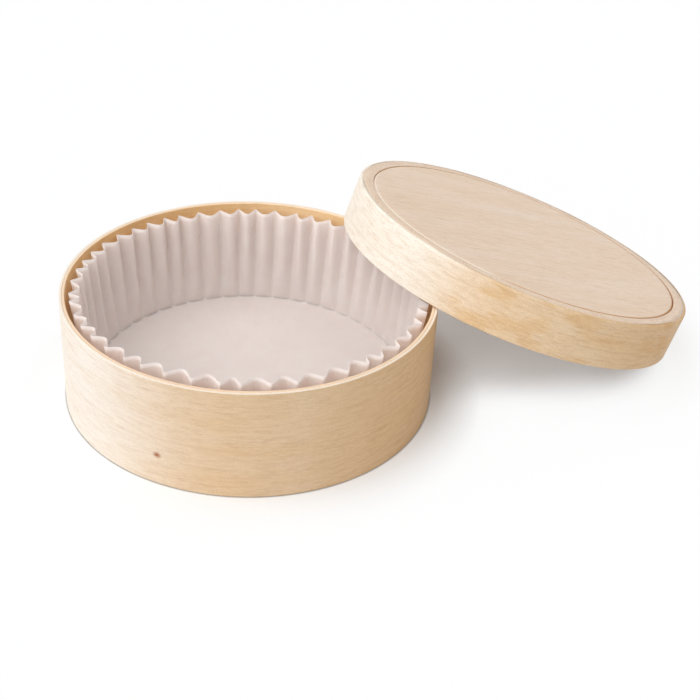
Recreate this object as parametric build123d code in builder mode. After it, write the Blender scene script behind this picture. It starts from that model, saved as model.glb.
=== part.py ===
"""Round bentwood box with a lift-off lid and a pleated paper liner.

Two thin wooden bands, one glued inside the other, stand round a flat bottom panel. The lid has one
band, a rebated seat ring glued inside its top, and a flat panel let into that ring. The paper liner
stands loose in the box. The lid is off: it leans on the rim of the base at two points, with its low
edge on the same flat surface as the base.

Millimetres, +Z up. The origin is the centre of the underside of the base, and -Y is the front.
"""
import os
from math import asin, atan2, cos, hypot, pi, sin, sqrt

from build123d import *

os.makedirs("parts", exist_ok=True)

# Base
outer_radius = 80.0
base_height = 49.5
base_ply = 1.2
bottom_thickness = 3.0
edge_round = 0.3

# Lid
lid_clearance = 0.3
lid_ply = 1.2
lid_height = 22.0
lid_round = 1.0
seat_ring_width = 5.2
seat_ring_height = 6.5
seat_ledge = 1.6
lid_panel_thickness = 3.0
panel_bevel = 0.5

# Butted ends of a bent band, which show as a fine upright line
seam_width = 0.4
seam_depth = 0.3
base_seam_angle = 118.0
lining_seam_angle = 250.0
lid_seam_angle = 100.0

# Where the lid leans: the way its low side points, the share of its bore from its middle up to the
# rim, and its gap over the rim
lean_heading = 27.4
lean_share = 0.831
lean_gap = 0.3

# Paper liner
paper_thickness = 0.3
pleat_count = 50
liner_side_gap = 1.2
liner_taper = 6.4
liner_front_rise = 2.2
liner_back_drop = 2.3
pleat_level_shares = (0.0, 0.08, 0.28, 0.6, 1.0)

# How far every cut runs past what it cuts
overrun = 2.0

# Radii that follow
base_bore = outer_radius - base_ply
lining_bore = base_bore - base_ply
lid_bore = outer_radius + lid_clearance
lid_radius = lid_bore + lid_ply
seat_bore = lid_bore - seat_ring_width
ledge_bore = seat_bore - seat_ledge


def leaning_plane():
    """The plane of the lid's open edge where the lid leans, with +Z out through its top.

    The low side stands on the round of the band's open edge. The plane of the open edge cuts the
    level of the rim in a line, and the lid rests where that line meets both the rim's outer edge
    and the lid's bore, which is at two points, one to each side of the heading. The tilt is the
    one that brings this line from the ground up to the rim.
    """
    along_lid = lean_share * lid_bore
    half_chord = sqrt(lid_bore**2 - along_lid**2)
    along_base = sqrt(outer_radius**2 - half_chord**2)
    arm = lid_radius - edge_round + along_lid
    rise = base_height + lean_gap - edge_round
    tilt = asin(rise / hypot(arm, edge_round)) + atan2(edge_round, arm)
    middle_height = base_height + lean_gap - along_lid * sin(tilt)
    reach = along_base + along_lid * cos(tilt)
    heading = Vector(1, 0, 0).rotate(Axis.Z, lean_heading)
    up = Vector(0, 0, 1)
    return Plane(
        origin=heading * reach + up * middle_height,
        x_dir=heading * cos(tilt) - up * sin(tilt),
        z_dir=heading * sin(tilt) + up * cos(tilt),
    )


def section(plane):
    """The plane through a piece's axis on which its half section is drawn: X out, Y along it."""
    return Plane(origin=plane.origin, x_dir=plane.x_dir, z_dir=-plane.y_dir)


def seam_plane(plane, radius, angle):
    """The plane across a band's wall where its ends meet, a little below the band's lower edge."""
    outward = plane.x_dir.rotate(Axis((0, 0, 0), plane.z_dir), angle)
    return Plane(
        origin=plane.origin + outward * radius - plane.z_dir * overrun,
        x_dir=outward,
        z_dir=plane.z_dir,
    )


def pleat_depth(height):
    """How far the pleats reach in and out at a height above the liner's bottom.

    A flat round sheet is pressed into the cup, so a ring of the sheet keeps the length that it had
    when flat, and what its wall has no room for goes into the folds.
    """
    sheet = pi * (liner_bottom_radius + height) / pleat_count
    room = pi * fold_radius(height) / pleat_count
    return sqrt(sheet**2 - room**2)


def fold_radius(height):
    """The radius of the outer folds at a height above the liner's bottom."""
    return liner_bottom_radius + liner_taper * height / liner_wall


def pleat_outline(height, inset_of_wall):
    """The liner's zigzag outline at one height, drawn in by the wall where that is wanted."""
    outer = fold_radius(height)
    depth = pleat_depth(height)
    half_pitch = pi * outer / pleat_count
    inset = inset_of_wall / cos(atan2(depth, half_pitch))
    radii = (outer - inset, outer - depth - inset)
    step = 180 / pleat_count
    return [
        Vector(radii[index % 2], 0).rotate(Axis.Z, index * step) for index in range(2 * pleat_count)
    ]


lid_plane = leaning_plane()
lid_axis = Axis(lid_plane.origin, lid_plane.z_dir)
base_section = section(Plane.XY)
lid_section = section(lid_plane)

liner_fold_radius = lining_bore - liner_side_gap
liner_bottom_radius = liner_fold_radius - liner_taper
liner_front_top = base_height + liner_front_rise
liner_back_top = base_height - liner_back_drop
liner_wall = liner_front_top + overrun - bottom_thickness
liner_levels = [share * liner_wall for share in pleat_level_shares]

# Outer band of the base
with BuildPart() as base_outer_band:
    with BuildSketch(base_section):
        with Locations((base_bore, 0)):
            Rectangle(base_ply, base_height, align=Align.MIN)
        fillet(vertices().group_by(Axis.Y)[-1], edge_round)
        fillet(vertices().group_by(Axis.X)[-1].sort_by(Axis.Y)[:1], edge_round)
    revolve(axis=Axis.Z)
    with BuildSketch(seam_plane(Plane.XY, outer_radius, base_seam_angle)):
        Rectangle(2 * seam_depth, seam_width)
    extrude(amount=base_height + 2 * overrun, mode=Mode.SUBTRACT)
base_outer_band.part.label = "base_outer_band"
export_step(base_outer_band.part, "parts/base_outer_band.step")

# Inner band of the base, which stands on the bottom panel
with BuildPart() as base_inner_band:
    with BuildSketch(base_section):
        with Locations((lining_bore, bottom_thickness)):
            Rectangle(base_ply, base_height - bottom_thickness, align=Align.MIN)
        fillet(vertices().group_by(Axis.Y)[-1], edge_round)
    revolve(axis=Axis.Z)
    with BuildSketch(seam_plane(Plane.XY, lining_bore, lining_seam_angle)):
        Rectangle(2 * seam_depth, seam_width)
    extrude(amount=base_height + 2 * overrun, mode=Mode.SUBTRACT)
base_inner_band.part.label = "base_inner_band"
export_step(base_inner_band.part, "parts/base_inner_band.step")

# Bottom panel, let in flush with the outer band's lower edge
with BuildPart() as base_bottom:
    with BuildSketch(Plane.XY):
        Circle(base_bore)
    extrude(amount=bottom_thickness)
    chamfer(edges().group_by(Axis.Z)[0], edge_round)
base_bottom.part.label = "base_bottom"
export_step(base_bottom.part, "parts/base_bottom.step")

# Pleated paper liner, loose in the base, whose top edge stands higher at the front
with BuildPart() as paper_liner:
    for height in liner_levels:
        with BuildSketch(Plane.XY.offset(bottom_thickness + height)):
            with BuildLine():
                Polyline(*pleat_outline(height, 0), close=True)
            make_face()
    loft(ruled=True)
    for height in [paper_thickness] + liner_levels[1:]:
        with BuildSketch(Plane.XY.offset(bottom_thickness + height)):
            with BuildLine():
                Polyline(*pleat_outline(height, paper_thickness), close=True)
            make_face()
    loft(ruled=True, mode=Mode.SUBTRACT)
    slope = (liner_front_top - liner_back_top) / (2 * liner_fold_radius)
    split(
        bisect_by=Plane(
            origin=(0, 0, (liner_front_top + liner_back_top) / 2),
            x_dir=(1, 0, 0),
            z_dir=(0, slope, 1),
        ),
        keep=Keep.BOTTOM,
    )
paper_liner.part.label = "paper_liner"
export_step(paper_liner.part, "parts/paper_liner.step")

# Band of the lid
with BuildPart() as lid_band:
    with BuildSketch(lid_section):
        with Locations((lid_bore, 0)):
            Rectangle(lid_ply, lid_height, align=Align.MIN)
        fillet(vertices().group_by(Axis.Y)[0], edge_round)
        fillet(vertices().group_by(Axis.Y)[-1].sort_by(Axis.X)[-1:], lid_round)
    revolve(axis=lid_axis)
    with BuildSketch(seam_plane(lid_plane, lid_radius, lid_seam_angle)):
        Rectangle(2 * seam_depth, seam_width)
    extrude(amount=lid_height + 2 * overrun, mode=Mode.SUBTRACT)
lid_band.part.label = "lid_band"
export_step(lid_band.part, "parts/lid_band.step")

# Seat ring of the lid, with the rebate that the panel lies in
with BuildPart() as lid_seat_ring:
    with BuildSketch(lid_section):
        with BuildLine():
            Polyline(
                (lid_bore, lid_height),
                (seat_bore, lid_height),
                (seat_bore, lid_height - lid_panel_thickness),
                (ledge_bore, lid_height - lid_panel_thickness),
                (ledge_bore, lid_height - seat_ring_height),
                (lid_bore, lid_height - seat_ring_height),
                close=True,
            )
        make_face()
        fillet(vertices().sort_by(Axis.X)[:2], edge_round)
    revolve(axis=lid_axis)
lid_seat_ring.part.label = "lid_seat_ring"
export_step(lid_seat_ring.part, "parts/lid_seat_ring.step")

# Top panel of the lid, whose bevelled edge leaves a fine groove round it
with BuildPart() as lid_panel:
    with BuildSketch(lid_section):
        with Locations((0, lid_height - lid_panel_thickness)):
            Rectangle(seat_bore, lid_panel_thickness, align=Align.MIN)
        chamfer(vertices().group_by(Axis.X)[-1].sort_by(Axis.Y)[-1:], panel_bevel)
    revolve(axis=lid_axis)
lid_panel.part.label = "lid_panel"
export_step(lid_panel.part, "parts/lid_panel.step")
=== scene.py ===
"""Looks of a round bentwood box whose lid leans on its rim, with a pleated paper liner inside.

Everything is in metres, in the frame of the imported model. Each wooden piece is turned again with a
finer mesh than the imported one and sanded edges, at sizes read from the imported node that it
replaces. The bands also have the slight unevenness of bent wood. Each wooden piece carries its
grain: on a band how far a point lies along it, its height and its radius, and on a panel the
point's place in the panel's own frame.
"""

import math
import random

import bpy
import numpy as np
from mathutils import Matrix, Vector, noise


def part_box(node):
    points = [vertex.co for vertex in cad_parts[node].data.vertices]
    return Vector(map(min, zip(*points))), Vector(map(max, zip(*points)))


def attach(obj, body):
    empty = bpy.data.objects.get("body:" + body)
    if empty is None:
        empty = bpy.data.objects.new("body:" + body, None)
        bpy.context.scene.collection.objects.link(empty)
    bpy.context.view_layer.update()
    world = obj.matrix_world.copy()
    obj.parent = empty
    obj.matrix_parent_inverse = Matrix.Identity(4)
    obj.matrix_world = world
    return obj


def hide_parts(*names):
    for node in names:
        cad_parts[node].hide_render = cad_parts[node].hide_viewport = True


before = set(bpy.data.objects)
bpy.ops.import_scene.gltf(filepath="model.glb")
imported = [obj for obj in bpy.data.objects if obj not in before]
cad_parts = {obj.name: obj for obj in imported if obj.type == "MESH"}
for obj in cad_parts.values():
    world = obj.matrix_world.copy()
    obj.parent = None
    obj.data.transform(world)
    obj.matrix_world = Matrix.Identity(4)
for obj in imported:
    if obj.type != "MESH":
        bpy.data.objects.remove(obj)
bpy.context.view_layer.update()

MM = 0.001
TURN = 2 * math.pi

# How finely the pieces are made
TURN_STEPS = 480
WALL_STEP = 2.0 * MM
ROUND_STEPS = 4
NEAR_ROUNDING = 1.5
TOP_RINGS = 16
UNDER_RINGS = 4
SAME_LEVEL = 0.01 * MM

# Sanded edges
SANDED = 0.3 * MM
SOFTENED = 0.15 * MM
LID_ROUND = 1.0 * MM
PANEL_BEVEL = 0.85 * MM
PANEL_GAP = 0.2 * MM

# Butted ends of the bent bands
SEAM_WIDTH = 0.4 * MM
SEAM_DEPTH = 0.3 * MM
SEAM_MIDWAY = 0.6
BASE_SEAM = math.radians(118)
LINING_SEAM = math.radians(250)
LID_SEAM = math.radians(100)

# Unevenness of bent wood: how far a wall wanders inwards and an upper edge downwards, and over what
# distance
WALL_WANDER = 0.16 * MM
EDGE_WANDER = 0.12 * MM
EDGE_FADE = 8
EDGE_SEED = 5
WANDER_LENGTH = 35 * MM

# Paper liner
PLEATS = 50
PLEAT_PARTS = (
    0, 0.02, 0.05, 0.11, 0.18, 0.25, 0.32, 0.38, 0.43, 0.47,
    0.5, 0.53, 0.57, 0.62, 0.68, 0.75, 0.82, 0.89, 0.95, 0.98,
)
PLEAT_CROWDING = 0.06
WALL_LEVELS = 30
LEVEL_CROWDING = 1.4
FLOOR_RINGS = 14
PAPER = 0.12 * MM
OUTER_FOLD = 0.12
INNER_FOLD = 0.6
FLOOR_CREASE = 0.35 * MM
CREASE_REACH = 14 * MM
PLEAT_TAPER = 6.4 * MM
LINER_TOP_DROP = 4.5 * MM

# How much one pleat differs from the next: its place and lean in pleat widths, the share of its
# full depth, how skewed it is, and how far its tip falls short in millimetres
PLEAT_SEED = 7
PLEAT_SHIFT = 0.08
PLEAT_LEAN = 0.14
PLEAT_DEPTHS = (0.7, 0.92)
PLEAT_SKEW = 0.12
PLEAT_DROP = 0.35


# Places and sizes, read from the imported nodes


def node_points(node):
    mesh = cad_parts[node].data
    points = np.empty(3 * len(mesh.vertices), np.float32)
    mesh.vertices.foreach_get("co", points)
    return points.reshape(-1, 3).astype(float)


def disc_place(node):
    """The frame of a leaning disc: the middle of its underside, its axis as Z, downhill as X."""
    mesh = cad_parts[node].data
    axis = max(mesh.polygons, key=lambda polygon: polygon.area).normal.copy()
    axis = axis if axis.z > 0 else -axis
    points = node_points(node)
    heights = points @ np.array(axis)
    under = points[heights < heights.min() + SAME_LEVEL]
    middle = Vector((under.min(0) + under.max(0)) / 2)
    downhill = Vector((axis.x, axis.y, 0))
    downhill = (downhill - axis * downhill.dot(axis)).normalized()
    sideways = axis.cross(downhill)
    place = Matrix((downhill, sideways, axis)).transposed().to_4x4()
    place.translation = middle
    return place


def ring_sizes(node, place):
    """(bore, radius, bottom, top) of a round node about the Z axis of a place."""
    inverse = np.array(place.inverted())
    points = node_points(node) @ inverse[:3, :3].T + inverse[:3, 3]
    radii = np.hypot(points[:, 0], points[:, 1])
    return radii.min(), radii.max(), points[:, 2].min(), points[:, 2].max()


UPRIGHT = Matrix.Identity(4)
LID = disc_place("lid_panel")


# Meshes


def sanded(corners):
    """A closed outline from (radius, height, rounding) corners that are all square.

    Straight runs are divided, with a point close to each rounding, so that the shading stays flat.
    """
    outline = []
    count = len(corners)
    for index, (x, z, rounding) in enumerate(corners):
        here = Vector((x, z))
        before = (Vector(corners[index - 1][:2]) - here).normalized()
        after = (Vector(corners[(index + 1) % count][:2]) - here).normalized()
        if rounding:
            middle = here + (before + after) * rounding
            outline.append(here + before * rounding * NEAR_ROUNDING)
            for step in range(ROUND_STEPS + 1):
                angle = math.pi / 2 * step / ROUND_STEPS
                spoke = after * math.cos(angle) + before * math.sin(angle)
                outline.append(middle - spoke * rounding)
            outline.append(here + after * rounding * NEAR_ROUNDING)
        else:
            outline.append(here)
    divided = []
    for point, following in zip(outline, outline[1:] + outline[:1]):
        parts = max(1, round((following - point).length / WALL_STEP))
        divided += [point.lerp(following, part / parts) for part in range(parts)]
    return divided


def wander(point, seed):
    """Smooth noise from 0 to 1 at a point, for unevenness."""
    return 0.5 + 0.5 * noise.noise(point / WANDER_LENGTH + Vector((seed, 0, 0)))


def new_object(name, points, faces, place):
    mesh = bpy.data.meshes.new(name)
    mesh.from_pydata(points, [], faces)
    mesh.transform(place)
    mesh.shade_smooth()
    piece = bpy.data.objects.new(name, mesh)
    bpy.context.scene.collection.objects.link(piece)
    return piece


def set_grain(piece, grain):
    """Keeps three grain values for each corner of each face."""
    layer = piece.data.attributes.new("grain", "FLOAT_VECTOR", "CORNER")
    layer.data.foreach_set("vector", np.asarray(grain, np.float32).ravel())


def bent_band(name, node, place, corners, seam, seed):
    """A band bent round the Z axis of a place, whose two ends meet in a fine upright line.

    corners is a function of the node's bore, radius, bottom and top. The seam shows on the outer
    side, or on the inner one where its angle is negative.
    """
    bore, radius, bottom, top = ring_sizes(node, place)
    outline = sanded(corners(bore, radius, bottom, top))
    inner_seam = seam < 0
    middle = (bore + radius) / 2
    seam_side = bore if inner_seam else radius
    half_seam = SEAM_WIDTH / 2 / middle
    regular = [TURN * step / TURN_STEPS for step in range(1, TURN_STEPS)]
    close = [0, SEAM_MIDWAY * half_seam, half_seam]
    angles = close + regular + [TURN - angle for angle in reversed(close[1:])]
    points = []
    for angle in angles:
        turned = abs(seam) + angle
        spoke = Vector((math.cos(turned), math.sin(turned), 0))
        from_seam = min(angle, TURN - angle)
        opening = SEAM_DEPTH * max(0.0, 1 - from_seam / half_seam)
        for x, z in outline:
            at = spoke * x + Vector((0, 0, z))
            wall = WALL_WANDER * wander(at, seed)
            share = (z - bottom) / (top - bottom)
            edge = EDGE_WANDER * wander(spoke * radius, seed + EDGE_SEED) * share**EDGE_FADE
            x -= wall
            if abs(x + wall - seam_side) < 2 * SANDED:
                x += opening if inner_seam else -opening
            points.append(spoke * x + Vector((0, 0, z - edge)))
    count, across = len(angles), len(outline)
    faces, grain = [], []
    for step in range(count):
        following = (step + 1) % count
        along = (angles[step] * middle, (angles[following] or TURN) * middle)
        for side in range(across):
            beside = (side + 1) % across
            faces.append(
                (
                    step * across + side,
                    following * across + side,
                    following * across + beside,
                    step * across + beside,
                )
            )
            here, there = outline[side], outline[beside]
            grain += [
                (along[0], here.y, here.x),
                (along[1], here.y, here.x),
                (along[1], there.y, there.x),
                (along[0], there.y, there.x),
            ]
    piece = new_object(name, points, faces, place)
    set_grain(piece, grain)
    return piece


def turned_disc(name, node, place):
    """A round panel with a bevelled upper edge and straight grain."""
    _, radius, bottom, top = ring_sizes(node, place)
    radius -= PANEL_GAP
    flat = radius - PANEL_BEVEL
    rings = [(flat * math.sqrt(ring / TOP_RINGS), top) for ring in range(1, TOP_RINGS)]
    rings += [(flat - SOFTENED, top), (flat, top - SOFTENED / 3)]
    rings += [(radius - SOFTENED / 3, top - PANEL_BEVEL), (radius, top - PANEL_BEVEL - SOFTENED)]
    rings += [(radius, bottom + SANDED), (radius - SANDED, bottom)]
    rings += [(flat * ring / UNDER_RINGS, bottom) for ring in range(UNDER_RINGS - 1, 0, -1)]
    points = [Vector((0, 0, top))]
    for out, height in rings:
        for step in range(TURN_STEPS):
            angle = TURN * step / TURN_STEPS
            points.append(Vector((out * math.cos(angle), out * math.sin(angle), height)))
    points.append(Vector((0, 0, bottom)))
    last = len(points) - 1
    faces = []
    for step in range(TURN_STEPS):
        beside = (step + 1) % TURN_STEPS
        faces.append((0, 1 + step, 1 + beside))
        for ring in range(len(rings) - 1):
            row = 1 + ring * TURN_STEPS
            following = row + TURN_STEPS
            faces.append((row + step, following + step, following + beside, row + beside))
        row = 1 + (len(rings) - 1) * TURN_STEPS
        faces.append((row + step, last, row + beside))
    piece = new_object(name, points, faces, place)
    grain = [points[loop.vertex_index] for loop in piece.data.loops]
    set_grain(piece, grain)
    return piece


def pleat_wave(turn):
    """How far in a pleat lies, from 0 at its sharp outer fold to 1 at its round inner fold."""
    straight = 1 - abs(2 * (turn % 1) - 1)
    lowest, highest = OUTER_FOLD / 2, 1 - INNER_FOLD / 2
    if straight < OUTER_FOLD:
        straight = lowest + straight**2 / (2 * OUTER_FOLD)
    elif straight > 1 - INNER_FOLD:
        straight = highest - (1 - straight) ** 2 / (2 * INNER_FOLD)
    return (straight - lowest) / (highest - lowest)


def pleated_liner(name, node):
    """A round sheet of thin paper pressed into a cup, whose spare width stands in folds."""
    low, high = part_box(node)
    bottom = low.z + PAPER
    fold_radius = high.x
    foot_radius = fold_radius - PLEAT_TAPER
    chance = random.Random(PLEAT_SEED)
    shifts = [chance.uniform(-PLEAT_SHIFT, PLEAT_SHIFT) for _ in range(PLEATS)]
    leans = [chance.uniform(-PLEAT_LEAN, PLEAT_LEAN) for _ in range(PLEATS)]
    depths = [chance.uniform(*PLEAT_DEPTHS) for _ in range(PLEATS)]
    skews = [chance.uniform(-PLEAT_SKEW, PLEAT_SKEW) for _ in range(PLEATS)]
    rises = [chance.uniform(-PLEAT_DROP, 0.0) * MM for _ in range(PLEATS)]
    full_wall = high.z - bottom
    slope = LINER_TOP_DROP / (2 * fold_radius)

    def sheet_point(turn, share):
        """A point of the sheet by its turn in pleats and its share of the wall's height.

        At a pleat's full depth a ring of the sheet keeps its length: what the wall has no room for
        goes into the pleats. Here they have a share of that depth, so the paper is a little short.
        """
        pleat = int(turn) % PLEATS
        following = (pleat + 1) % PLEATS
        part = turn - int(turn)

        def varied(values):
            return values[pleat] * (1 - part) + values[following] * part

        bent = part + varied(skews) * math.sin(math.pi * part) * share
        angle = TURN * (int(turn) + bent + varied(shifts) + varied(leans) * share) / PLEATS
        angle += PLEAT_CROWDING * math.cos(angle)
        outer = foot_radius + PLEAT_TAPER * share
        height = full_wall * share
        sheet = math.pi * (foot_radius + height) / PLEATS
        room = math.pi * outer / PLEATS
        depth = math.sqrt(max(0.0, sheet**2 - room**2)) * varied(depths)
        radius = outer - depth * pleat_wave(bent)
        front = -math.sin(angle) * fold_radius
        top = high.z - LINER_TOP_DROP / 2 + slope * front + varied(rises)
        z = bottom + (top - bottom) * share
        return Vector((radius * math.cos(angle), radius * math.sin(angle), z))

    turns = [pleat + part for pleat in range(PLEATS) for part in PLEAT_PARTS]
    columns = len(turns)
    rows = []
    for ring in range(1, FLOOR_RINGS + 1):
        share = math.sqrt(ring / FLOOR_RINGS)
        row = []
        for turn in turns:
            rim = sheet_point(turn, 0)
            point = Vector((rim.x * share, rim.y * share, bottom))
            inward = foot_radius * (1 - share)
            crease = FLOOR_CREASE * math.exp(-inward / CREASE_REACH)
            point.z += crease * (1 - pleat_wave(turn))
            row.append(point)
        rows.append(row)
    for level in range(1, WALL_LEVELS + 1):
        share = (level / WALL_LEVELS) ** LEVEL_CROWDING
        rows.append([sheet_point(turn, share) for turn in turns])
    points = [Vector((0, 0, bottom))] + [point for row in rows for point in row]
    faces = []
    for column in range(columns):
        beside = (column + 1) % columns
        faces.append((0, 1 + column, 1 + beside))
        for row in range(len(rows) - 1):
            start = 1 + row * columns
            following = start + columns
            faces.append((start + column, following + column, following + beside, start + beside))
    piece = new_object(name, points, faces, UPRIGHT)
    thicken = piece.modifiers.new("paper", "SOLIDIFY")
    thicken.thickness = PAPER
    thicken.offset = 0
    return piece


# Materials


class Look:
    """A material and short ways to add nodes to it."""

    def __init__(self, name):
        self.material = bpy.data.materials.new(name)
        self.material.use_nodes = True
        self.tree = self.material.node_tree
        self.shader = self.tree.nodes["Principled BSDF"]
        self.output = self.tree.nodes["Material Output"]

    def link(self, value, socket):
        """Joins a socket to another node's output, or gives it a plain value."""
        if isinstance(value, bpy.types.NodeSocket):
            self.tree.links.new(value, socket)
        else:
            socket.default_value = value

    def add(self, kind, *values, output=0, **settings):
        """Adds a node, gives its inputs in order, skipping None, and returns one output.

        That is the first one, or the one named.
        """
        node = self.tree.nodes.new(kind)
        for setting, value in settings.items():
            setattr(node, setting, value)
        for value, socket in zip(values, node.inputs):
            if value is not None:
                self.link(value, socket)
        return node.outputs[output]

    def maths(self, operation, *values):
        return self.add("ShaderNodeMath", *values, operation=operation)

    def vector_maths(self, operation, *values, output="Vector"):
        return self.add("ShaderNodeVectorMath", *values, operation=operation, output=output)

    def ramp(self, value, low, high, to_low=0.0, to_high=1.0, kind="LINEAR"):
        """A value carried from one range to another, and held at its ends."""
        return self.add(
            "ShaderNodeMapRange", value, low, high, to_low, to_high, interpolation_type=kind
        )

    def openness(self, reach):
        """How open the sky over a point is, from 0 to 1, looking so far."""
        return self.add("ShaderNodeAmbientOcclusion", None, reach, output="AO")

    def mix(self, share, first, second, blend="MIX"):
        """The first colour with so large a share of the second."""
        node = self.tree.nodes.new("ShaderNodeMix")
        node.data_type = "RGBA"
        node.blend_type = blend
        self.link(share, node.inputs["Factor"])
        self.link(first, node.inputs["A"])
        self.link(second, node.inputs["B"])
        return node.outputs["Result"]

    def noise(self, place, along, across, detail, roughness):
        """Noise whose features are so long along the grain and so wide across it."""
        scaled = self.vector_maths("MULTIPLY", place, (1 / along, 1 / across, 1 / across))
        node = self.tree.nodes.new("ShaderNodeTexNoise")
        node.inputs["Scale"].default_value = 1.0
        node.inputs["Detail"].default_value = detail
        node.inputs["Roughness"].default_value = roughness
        self.tree.links.new(scaled, node.inputs["Vector"])
        return node.outputs["Fac"]

    def bump(self, height, strength):
        """Relief too fine to model, for the shader."""
        node = self.tree.nodes.new("ShaderNodeBump")
        node.inputs["Strength"].default_value = strength
        node.inputs["Distance"].default_value = BUMP_HEIGHT
        self.link(height, node.inputs["Height"])
        self.link(node.outputs["Normal"], self.shader.inputs["Normal"])


def linear(red, green, blue):
    """A colour as written in sRGB, 0 to 255, for a node that wants it linear."""

    def channel(value):
        value /= 255
        return value / 12.92 if value <= 0.04045 else ((value + 0.055) / 1.055) ** 2.4

    return (channel(red), channel(green), channel(blue), 1.0)


# Features of the grain: their length along it and width across it, and their noise's detail and
# roughness
DRIFT_NOISE = (11 * MM, 4.5 * MM, 2.0, 0.5)
FIGURE_NOISE = (80 * MM, 11 * MM, 3.0, 0.5)
PATCH_NOISE = (26 * MM, 10 * MM, 3.0, 0.6)
BAND_NOISE = (12 * MM, 1.6 * MM, 3.0, 0.6)
STREAK_NOISE = (3.6 * MM, 0.45 * MM, 4.0, 0.65)
BUSY_NOISE = (22 * MM, 7 * MM, 2.0, 0.5)
FIBRE_NOISE = (1.1 * MM, 0.2 * MM, 2.0, 0.6)
SPECK_NOISE = (0.6 * MM, 0.45 * MM, 2.0, 0.7)
KNOT_NOISE = (1.0 * MM, 0.5 * MM, 3.0, 0.5)

# Where each feature starts and is full in its noise, and how strong it then is
BAND_RAMP, BAND_SHARE = (0.45, 0.7), 0.5
DARK_RAMP, DARK_SHARE = (0.46, 0.7), 0.6
LIGHT_RAMP, LIGHT_SHARE = (0.24, 0.46), 0.45
FIBRE_RAMP, FIBRE_SHARE = (0.54, 0.76), 0.6
BUSY_RAMP = (0.35, 0.65, 0.35, 1.0)
PATCH_RAMP, PATCH_CALM = (0.48, 0.72), 0.3
SPECK_RAMP = (0.55, 0.7)
KNOT_RAMP, KNOT_WAVE = (0.2, 1.2), 0.8
FIGURE = 0.5
SWAY = 0.5 * MM
SEED_STEP = (1.7, 0.9, 0.0)

# Relief and gloss
BUMP_HEIGHT = 0.05 * MM
WOOD_BUMP = 0.3
STREAK_RELIEF = 0.6
WOOD_ROUGHNESS = (0.3, 0.7, 0.6, 0.48)
WOOD_SPECULAR = 0.4

# Colours of the wood
BARE = (linear(246, 237, 226), linear(230, 198, 158), linear(222, 178, 124))
FAIR = (linear(252, 245, 233), linear(230, 198, 156), linear(222, 178, 122))
ROSY = (linear(252, 238, 226), linear(232, 198, 160), linear(222, 178, 124))
WARM = (linear(253, 228, 188), linear(248, 206, 150), linear(242, 190, 128))
PALE_AND_HIGHLIGHT = linear(250, 240, 226)
STREAK = linear(214, 190, 160)
SPECK = linear(178, 140, 102)
KNOT = linear(164, 92, 52)
BROWN_AND_SHADE = linear(200, 150, 98)

# Where a band turns amber, counted from its palest place, and how much: painted shade towards
# its shaded side
SHADED_AMBER_RANGE = (140 * MM, 200 * MM)
SHADED_AMBER_SHARE = 0.8

# The groove round the lid's panel: how strong the painted highlight on its bevel is, how brown
# the ring is beside it, and how the painted shade in brown at the bevel's foot grows towards the
# lower part of the lid
BEVEL_HIGHLIGHT = 0.75
RING_BROWN = 0.5
GROOVE_SHADE_TURN = math.radians(310)
GROOVE_SHADE_WAY = (math.cos(GROOVE_SHADE_TURN), math.sin(GROOVE_SHADE_TURN), 0.0)
GROOVE_SHADE_RANGE = (2 * MM, 16 * MM, 0.05, 1.0)
BEVEL_FOOT = 0.15


def lit_and_shaded_tone(look, grain, tone, palest):
    """Painted light and shade: how golden a band is along its length."""
    middle, pale_reach, golden_reach = palest
    along = look.add("ShaderNodeSeparateXYZ", grain, output="X")
    away = look.maths("ABSOLUTE", look.maths("SUBTRACT", along, middle))
    near = look.ramp(away, pale_reach, golden_reach, 0.0, tone, kind="SMOOTHSTEP")
    far = look.ramp(away, *SHADED_AMBER_RANGE, 0.0, SHADED_AMBER_SHARE)
    return look.maths("ADD", near, far)


def add_knot(look, colour, grain, knot):
    """A small brown mark with a wavy outline."""
    along, across, length, width, strength = knot
    offset = look.vector_maths("SUBTRACT", grain, (along, across, 0.0))
    offset = look.vector_maths("MULTIPLY", offset, (2 / length, 2 / width, 0.0))
    wave = look.noise(grain, *KNOT_NOISE)
    wave = look.maths("MULTIPLY_ADD", wave, KNOT_WAVE, -KNOT_WAVE / 2)
    distance = look.maths("ADD", look.vector_maths("LENGTH", offset, output="Value"), wave)
    return look.mix(look.ramp(distance, *KNOT_RAMP, strength, 0.0), colour, KNOT)


def add_bevel(look, colour, grain, arris):
    """The bevel: a painted highlight, and painted shade in brown at its foot low on the lid."""
    radius = look.vector_maths("MULTIPLY", grain, (1, 1, 0))
    radius = look.vector_maths("LENGTH", radius, output="Value")
    # Painted highlight: the whole bevel is paler all round.
    painted_highlight = look.ramp(radius, arris - SOFTENED, arris, 0.0, BEVEL_HIGHLIGHT)
    colour = look.mix(painted_highlight, colour, PALE_AND_HIGHLIGHT)
    # Painted shade: brown at the bevel's foot, growing towards the lower part of the lid.
    low = look.vector_maths("DOT_PRODUCT", grain, GROOVE_SHADE_WAY, output="Value")
    low = look.ramp(low, *GROOVE_SHADE_RANGE)
    foot = look.ramp(radius, arris - SOFTENED, arris + BEVEL_FOOT * PANEL_BEVEL)
    return look.mix(look.maths("MULTIPLY", low, foot), colour, BROWN_AND_SHADE)


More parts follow.
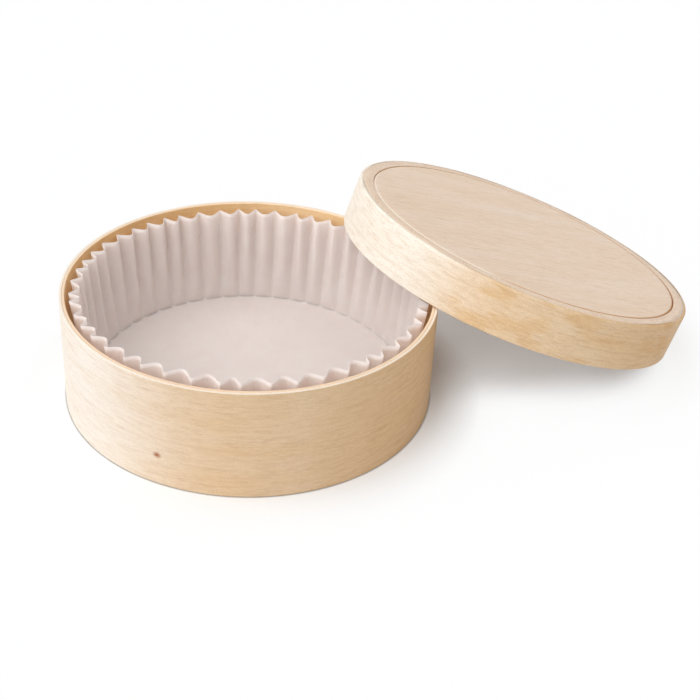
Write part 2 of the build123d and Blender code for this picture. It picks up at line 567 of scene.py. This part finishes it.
def wood(
    name, colours, seed, tone=1.0, palest=None, contrast=0.6, edge=None, patchy=0.0,
    speckle=0.25, knots=(), bevel=None, groove=None,
):
    """Bare sanded wood: short wavy streaks, finer fibres and a faint broad figure.

    colours are its pale, golden and amber, and tone is how golden it is. Painted light and shade:
    a band is pale on its lit side and golden towards its shaded side, and farther off slowly turns
    amber. palest gives the palest place along it, how far from it the wood stays pale, and how far
    from it the wood is golden.
    contrast is the strength of streaks and fibres, patchy that of golden patches, and speckle that
    of fine dark specks. edge is a height, close to which the wood is paler, and how much paler.
    knots are small brown marks, each given by its middle along and across the grain, its length,
    width and strength. bevel is the radius of the panel's arris, outside which its bevel lies.
    groove gives the two radii between which a band's wood turns brown beside that bevel.
    """
    look = Look(name)
    grain = look.add("ShaderNodeAttribute", attribute_name="grain", output="Vector")
    placed = look.vector_maths("ADD", grain, [seed * step for step in SEED_STEP])
    drift = look.noise(placed, *DRIFT_NOISE)
    sway = look.add("ShaderNodeCombineXYZ", 0.0, look.ramp(drift, 0.0, 1.0, -SWAY, SWAY), 0.0)
    swayed = look.vector_maths("ADD", placed, sway)
    bands = look.noise(swayed, *BAND_NOISE)
    streaks = look.noise(swayed, *STREAK_NOISE)
    busy = look.ramp(look.noise(placed, *BUSY_NOISE), *BUSY_RAMP)
    fibres = look.noise(swayed, *FIBRE_NOISE)

    figure = look.noise(swayed, *FIGURE_NOISE)
    golden = look.maths("MULTIPLY_ADD", figure, FIGURE, -FIGURE / 2)
    # Painted light and shade along a band: pale on its lit side, golden to amber on the other.
    along_tone = tone if palest is None else lit_and_shaded_tone(look, grain, tone, palest)
    golden = look.maths("ADD", golden, along_tone)
    if patchy:
        patches = look.noise(placed, *PATCH_NOISE)
        patches = look.ramp(patches, *PATCH_RAMP, 1.0 - PATCH_CALM * patchy, 1.0 + patchy)
        golden = look.maths("MULTIPLY", golden, patches)
    colour = look.mix(golden, colours[0], colours[1])
    colour = look.mix(look.ramp(golden, 1.0, 2.0), colour, colours[2])

    band = look.ramp(bands, *BAND_RAMP, 0.0, BAND_SHARE * contrast)
    colour = look.mix(band, colour, STREAK, "MULTIPLY")
    dark = look.ramp(streaks, *DARK_RAMP, 0.0, DARK_SHARE * contrast)
    colour = look.mix(look.maths("MULTIPLY", busy, dark), colour, STREAK, "MULTIPLY")
    light = look.ramp(streaks, *LIGHT_RAMP, LIGHT_SHARE * contrast, 0.0)
    colour = look.mix(look.maths("MULTIPLY", busy, light), colour, PALE_AND_HIGHLIGHT)
    fibre = look.ramp(fibres, *FIBRE_RAMP, 0.0, FIBRE_SHARE * contrast)
    colour = look.mix(fibre, colour, STREAK, "MULTIPLY")
    if edge is not None:
        height = look.add("ShaderNodeSeparateXYZ", grain, output="Y")
        height = look.ramp(height, edge[0] - SANDED, edge[0], 0.0, edge[1])
        colour = look.mix(height, colour, PALE_AND_HIGHLIGHT)
    specks = look.noise(placed, *SPECK_NOISE)
    colour = look.mix(look.ramp(specks, *SPECK_RAMP, 0.0, speckle), colour, SPECK)
    for knot in knots:
        colour = add_knot(look, colour, grain, knot)
    if groove is not None:
        radius = look.add("ShaderNodeSeparateXYZ", grain, output="Z")
        colour = look.mix(look.ramp(radius, *groove, 0.0, RING_BROWN), colour, BROWN_AND_SHADE)
    # The panel's bevel gets a painted highlight and painted shade.
    if bevel is not None:
        colour = add_bevel(look, colour, grain, bevel)

    look.link(colour, look.shader.inputs["Base Color"])
    look.link(look.ramp(streaks, *WOOD_ROUGHNESS), look.shader.inputs["Roughness"])
    look.shader.inputs["Specular IOR Level"].default_value = WOOD_SPECULAR
    relief = look.maths("MULTIPLY", streaks, STREAK_RELIEF)
    relief = look.maths("MULTIPLY_ADD", fibres, 1 - STREAK_RELIEF, relief)
    look.bump(relief, WOOD_BUMP)
    return look.material


PAPER_COLOURS = (linear(253, 248, 245), linear(251, 243, 240))
PAPER_CLOUD = (9 * MM, 9 * MM, 4.0, 0.6)
PAPER_RAMP = (0.3, 0.7)
PAPER_TEXTURE = (0.7 * MM, 0.7 * MM, 3.0, 0.6)
PAPER_BUMP = 0.2
PAPER_ROUGHNESS = 0.55
PAPER_SPECULAR = 0.3
PAPER_TRANSLUCENCY = 0.36


def paper(name):
    """Thin greaseproof paper that lets some light through."""
    look = Look(name)
    place = look.add("ShaderNodeTexCoord", output="Object")
    cloud = look.noise(place, *PAPER_CLOUD)
    colour = look.mix(look.ramp(cloud, *PAPER_RAMP), *PAPER_COLOURS)
    look.link(colour, look.shader.inputs["Base Color"])
    look.shader.inputs["Roughness"].default_value = PAPER_ROUGHNESS
    look.shader.inputs["Specular IOR Level"].default_value = PAPER_SPECULAR
    look.bump(look.noise(place, *PAPER_TEXTURE), PAPER_BUMP)
    through = look.add("ShaderNodeBsdfTranslucent", colour)
    surface = look.shader.outputs["BSDF"]
    both = look.add("ShaderNodeMixShader", PAPER_TRANSLUCENCY, surface, through)
    look.link(both, look.output.inputs["Surface"])
    return look.material


def dress(piece, material, body, node):
    """Gives a piece its material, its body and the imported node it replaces."""
    piece.data.materials.append(material)
    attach(piece, body)
    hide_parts(node)


# Knots: middle along and across the grain, length, width, strength
BASE_KNOTS = (
    (181.0 * MM, 14.2 * MM, 3.8 * MM, 3.0 * MM, 1.0),
    (177.0 * MM, 44.3 * MM, 4.5 * MM, 0.8 * MM, 0.35),
)
PANEL_KNOTS = (
    (-62.0 * MM, 14.5 * MM, 7.0 * MM, 0.9 * MM, 0.3),
    (-57.5 * MM, 16.2 * MM, 4.5 * MM, 0.7 * MM, 0.25),
)

# Palest place along each band, on its lit side, and how far from it the wood is pale and golden:
# painted light and shade. The lining's pale reach is below zero, so it is somewhat golden even
# there.
BASE_PALEST = (100 * MM, 42 * MM, 112 * MM)
LINING_PALEST = (255 * MM, -70 * MM, 90 * MM)
LID_PALEST = (90 * MM, 45 * MM, 95 * MM)

BASE_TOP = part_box("base_outer_band")[1].z
BAND_EDGE = (BASE_TOP, 0.8)
LINING_EDGE = (BASE_TOP, 0.5)
PANEL_EDGE = ring_sizes("lid_panel", LID)[1]
PANEL_ARRIS = PANEL_EDGE - PANEL_GAP - PANEL_BEVEL
RING_GROOVE = (PANEL_EDGE + SOFTENED, PANEL_EDGE)

band_wood = wood(
    "band_wood", BARE, seed=1, tone=0.9, palest=BASE_PALEST, contrast=0.55, edge=BAND_EDGE,
    knots=BASE_KNOTS,
)
# The lining's strong golden is partly the wood's own tone and partly painted warm bounce light.
lining_wood = wood(
    "lining_wood", WARM, seed=2, tone=1.3, palest=LINING_PALEST, contrast=0.5, edge=LINING_EDGE
)
lid_wood = wood(
    "lid_wood", FAIR, seed=3, palest=LID_PALEST, contrast=0.65, patchy=0.5, speckle=0.4
)
ring_wood = wood("ring_wood", ROSY, seed=4, tone=0.5, groove=RING_GROOVE, speckle=0.8)
panel_wood = wood(
    "panel_wood", ROSY, seed=5, tone=0.5, contrast=0.5, bevel=PANEL_ARRIS, knots=PANEL_KNOTS
)
bottom_wood = wood("bottom_wood", BARE, seed=6, tone=0.8)


# The box


def base_corners(bore, radius, bottom, top):
    return [
        (bore, bottom, 0),
        (radius, bottom, SANDED),
        (radius, top, SANDED),
        (bore, top, SANDED),
    ]


def lining_corners(bore, radius, bottom, top):
    return [(bore, bottom, 0), (radius, bottom, 0), (radius, top, SANDED), (bore, top, SANDED)]


def lid_corners(bore, radius, bottom, top):
    return [
        (bore, bottom, SANDED),
        (radius, bottom, SANDED),
        (radius, top, LID_ROUND),
        (bore, top, 0),
    ]


outer_band = bent_band("outer_band", "base_outer_band", UPRIGHT, base_corners, BASE_SEAM, 11)
dress(outer_band, band_wood, "box", "base_outer_band")

inner_band = bent_band("inner_band", "base_inner_band", UPRIGHT, lining_corners, -LINING_SEAM, 12)
dress(inner_band, lining_wood, "box", "base_inner_band")

bottom_panel = turned_disc("bottom_panel", "base_bottom", UPRIGHT)
dress(bottom_panel, bottom_wood, "box", "base_bottom")

liner = pleated_liner("pleated_liner", "paper_liner")
dress(liner, paper("liner_paper"), "box", "paper_liner")

lid_side = bent_band("lid_side", "lid_band", LID, lid_corners, LID_SEAM, 13)
dress(lid_side, lid_wood, "lid", "lid_band")


def seat_corners(bore, radius, bottom, top):
    """The seat ring's section: a rebate in its upper half carries the panel."""
    _, rebate, panel_bottom, _ = ring_sizes("lid_panel", LID)
    return [
        (radius, top, 0),
        (rebate, top, SOFTENED),
        (rebate, panel_bottom, 0),
        (bore, panel_bottom, SOFTENED),
        (bore, bottom, SANDED),
        (radius, bottom, 0),
    ]


seat_ring = bent_band("seat_ring", "lid_seat_ring", LID, seat_corners, LID_SEAM, 14)
dress(seat_ring, ring_wood, "lid", "lid_seat_ring")

top_panel = turned_disc("top_panel", "lid_panel", LID)
dress(top_panel, panel_wood, "lid", "lid_panel")


# Floor, light and camera

FLOOR_HALF = 3.0
FRAME_PIXELS = 700
FOCAL_PIXELS = 1300
SENSOR_WIDTH = 36.0
CLIP_START = 0.01
CAMERA_PLACE = Vector((43.7, -476.0, 329.4)) * MM
CAMERA_PITCH = math.radians(33.0)
CAMERA_ROLL = math.radians(3.57)

# The floor where it is seen directly. Away from the box it is nearly all glow, so the lamps' shadow
# hardly shows there. Under the lid and near the foot of the base less of it glows, and the shadow
# shows by that much. Close to a contact it has no glow, and its colour is a painted contact shadow
# of grey. FOOT_RAMP goes by the distance from the base's axis, and the other ramps by how open the
# sky is. All are fitted to the photograph's shade, so how dark it is doesn't come from the lamps
# alone.
SHADOW_REACH = 130 * MM
SHADOW_RAMP = (0.12, 0.31, 0.25, 0.95)
SIDE_REACH = 40 * MM
SIDE_RAMP = (0.6, 0.95, 0.75, 1.0)
FOOT_RAMP = (84 * MM, 103 * MM, 0.1, 1.0)
CONTACT_REACH = 1.5 * MM
CONTACT_RAMP = (0.45, 0.85)
CONTACT_SHADOW_GREY = linear(150, 146, 142)
COOL_WHITE = (0.95, 0.97, 0.99, 1.0)
BOUNCE_WHITE = (0.8, 0.8, 0.8, 1.0)
WHITE = (1.0, 1.0, 1.0, 1.0)


def add_floor():
    """A white floor that keeps the object's shadow close to it."""
    half = FLOOR_HALF
    points = [(-half, -half, 0), (half, -half, 0), (half, half, 0), (-half, half, 0)]
    floor = new_object("floor", points, [(0, 1, 2, 3)], UPRIGHT)
    look = Look("floor_white")
    seen = look.add("ShaderNodeLightPath", output="Is Camera Ray")
    mirrored = look.add("ShaderNodeLightPath", output="Is Glossy Ray")
    through = look.add("ShaderNodeLightPath", output="Is Transmission Ray")
    direct = look.maths("MAXIMUM", look.maths("MAXIMUM", seen, mirrored), through)
    no_contact = look.ramp(look.openness(CONTACT_REACH), *CONTACT_RAMP)
    # Painted contact shadow: the floor's colour is grey close to where something stands on it.
    colour = look.mix(no_contact, CONTACT_SHADOW_GREY, COOL_WHITE)
    colour = look.mix(direct, BOUNCE_WHITE, colour)
    open_sky = look.ramp(look.openness(SHADOW_REACH), *SHADOW_RAMP, kind="SMOOTHSTEP")
    open_side = look.ramp(look.openness(SIDE_REACH), *SIDE_RAMP)
    place = look.add("ShaderNodeTexCoord", output="Object")
    off_foot = look.ramp(look.vector_maths("LENGTH", place, output="Value"), *FOOT_RAMP)
    glow_share = look.maths("MULTIPLY", direct, no_contact)
    for share in (open_sky, open_side, off_foot):
        glow_share = look.maths("MULTIPLY", glow_share, share)
    matt = look.add("ShaderNodeBsdfDiffuse", colour)
    glow = look.add("ShaderNodeEmission", WHITE, 1.0)
    both = look.add("ShaderNodeMixShader", glow_share, matt, glow)
    look.link(both, look.output.inputs["Surface"])
    look.material.cycles.emission_sampling = "NONE"
    floor.data.materials.append(look.material)


def add_sun(name, azimuth, elevation, strength, angle):
    """A soft lamp far away, with its angles in degrees.

    Azimuth 0 is in front of the box, 90 to its right.
    """
    lamp = bpy.data.lights.new(name, "SUN")
    lamp.energy = strength
    lamp.angle = math.radians(angle)
    place = bpy.data.objects.new(name, lamp)
    turn, rise = math.radians(azimuth), math.radians(elevation)
    towards = Vector(
        (math.sin(turn) * math.cos(rise), -math.cos(turn) * math.cos(rise), math.sin(rise))
    )
    place.rotation_euler = towards.to_track_quat("Z", "Y").to_euler()
    bpy.context.scene.collection.objects.link(place)


def add_world(strength):
    """An even white sky: of a plain strength as light, and of strength 1 where it is seen."""
    world = bpy.data.worlds.new("studio")
    world.use_nodes = True
    bpy.context.scene.world = world
    nodes, links = world.node_tree.nodes, world.node_tree.links
    shader = nodes["Background"]
    shader.inputs["Color"].default_value = WHITE
    paths = nodes.new("ShaderNodeLightPath")
    direct = nodes.new("ShaderNodeMath")
    direct.operation = "MAXIMUM"
    links.new(paths.outputs["Is Camera Ray"], direct.inputs[0])
    shiny = nodes.new("ShaderNodeMath")
    shiny.operation = "MAXIMUM"
    links.new(paths.outputs["Is Glossy Ray"], shiny.inputs[0])
    links.new(paths.outputs["Is Transmission Ray"], shiny.inputs[1])
    links.new(shiny.outputs[0], direct.inputs[1])
    level = nodes.new("ShaderNodeMapRange")
    links.new(direct.outputs[0], level.inputs["Value"])
    level.inputs["To Min"].default_value = strength
    level.inputs["To Max"].default_value = 1.0
    links.new(level.outputs["Result"], shader.inputs["Strength"])


def add_camera():
    """The camera of the photograph, fitted to the rim, foot and sides of the base."""
    ahead = Vector((0, math.cos(CAMERA_PITCH), -math.sin(CAMERA_PITCH)))
    right = Vector((1, 0, 0))
    up = right.cross(ahead)
    rolled_right = right * math.cos(CAMERA_ROLL) + up * math.sin(CAMERA_ROLL)
    rolled_up = up * math.cos(CAMERA_ROLL) - right * math.sin(CAMERA_ROLL)
    lens = bpy.data.cameras.new("photo_camera")
    lens.sensor_width = SENSOR_WIDTH
    lens.lens = lens.sensor_width * FOCAL_PIXELS / FRAME_PIXELS
    lens.clip_start = CLIP_START
    camera = bpy.data.objects.new("photo_camera", lens)
    camera.matrix_world = Matrix((rolled_right, rolled_up, -ahead)).transposed().to_4x4()
    camera.matrix_world.translation = CAMERA_PLACE
    bpy.context.scene.collection.objects.link(camera)
    bpy.context.scene.camera = camera


add_floor()
add_sun("main_light", -50, 35, 2.03, 90)
add_sun("left_light", -95, 32, 0.3, 100)
add_sun("right_light", 95, 35, 0.53, 90)
add_sun("top_light", -30, 80, 0.74, 90)
add_world(strength=0.23)
add_camera()
bpy.context.scene.view_settings.view_transform = "Standard"
